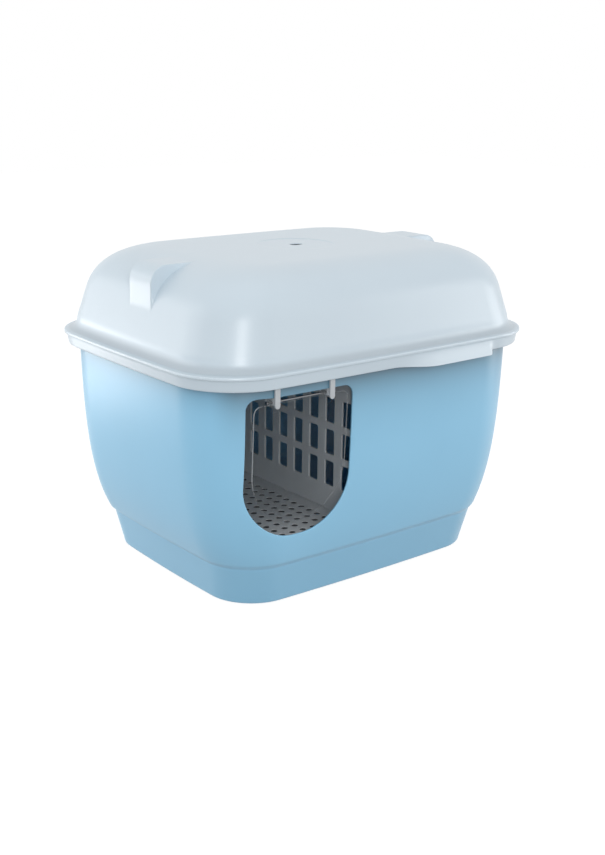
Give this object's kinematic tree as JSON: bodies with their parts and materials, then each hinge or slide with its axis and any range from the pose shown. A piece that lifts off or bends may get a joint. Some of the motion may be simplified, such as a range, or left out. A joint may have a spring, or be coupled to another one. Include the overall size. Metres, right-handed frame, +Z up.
{
  "type": "hooded cat litter box",
  "caption": "Stepped blue plastic litter tub with a white lift-off hood, a clear swinging entry flap in the front wall, and a perforated walkway with a slotted partition inside",
  "frame": {"origin": "centre of the tub's footprint on the floor", "axes": "+X to the right seen from the front, along the box's length; +Y from the front, which has the entry door, to the back; +Z up"},
  "size_m": [0.58, 0.44, 0.44],
  "materials": {
    "tub_plastic": "moulded light blue plastic, soft sheen",
    "hood_plastic": "moulded white plastic, soft sheen",
    "flap_plastic": "clear smoked plastic sheet",
    "hanger_plastic": "light grey plastic",
    "rod_steel": "drawn wire",
    "walkway_plastic": "moulded mid-grey plastic"
  },
  "bodies": {
    "tub": {"tub_shell": "tub_plastic", "flap_hanger_left": "hanger_plastic", "flap_hanger_right": "hanger_plastic"},
    "flap": {"entry_flap": "flap_plastic", "flap_hinge_rod": "rod_steel"},
    "walkway": {"walkway_deck": "walkway_plastic", "slotted_partition": "walkway_plastic"},
    "hood": {"hood_shell": "hood_plastic"}
  },
  "joints": [
    {"name": "flap_swing", "type": "hinge", "parent": "tub", "child": "flap", "pos_m": [-0.1455, -0.20022, 0.2845], "axis": [1, 0, 0], "range_deg": [-75, 75]},
    {"name": "walkway_lift", "type": "slide", "parent": "tub", "child": "walkway", "axis": [0, 0, 1], "range_m": [0, 0.04]},
    {"name": "hood_lift", "type": "slide", "parent": "tub", "child": "hood", "axis": [0, 0, 1], "range_m": [0, 0.2]}
  ]
}
